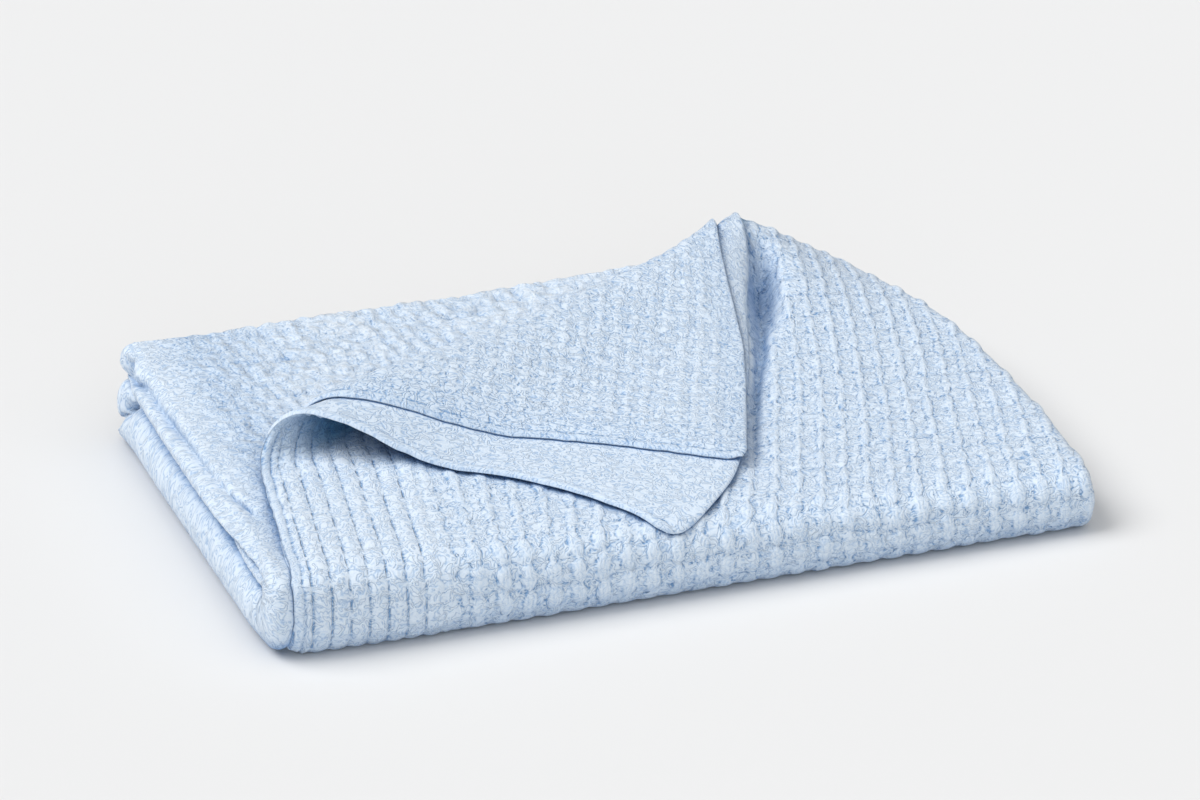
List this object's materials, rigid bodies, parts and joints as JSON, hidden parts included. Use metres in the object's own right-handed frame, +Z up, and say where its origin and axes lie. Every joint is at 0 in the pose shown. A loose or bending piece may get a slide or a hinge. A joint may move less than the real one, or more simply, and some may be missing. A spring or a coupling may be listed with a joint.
{
  "type": "folded throw blanket",
  "caption": "Knitted throw folded into a flat rectangular stack with a rounded front, ribbed border and one upper corner turned back.",
  "frame": {"origin": "centre of the bounding box in plan, on the surface the stack rests on", "axes": "+X along the folded front, toward its right end; +Y from the rounded front to the back; +Z up"},
  "size_m": [0.5274, 0.3286, 0.0966],
  "materials": {
    "knit": "matt pale blue cotton knit"
  },
  "bodies": {
    "root": {"throw_blanket": "knit"}
  },
  "joints": []
}
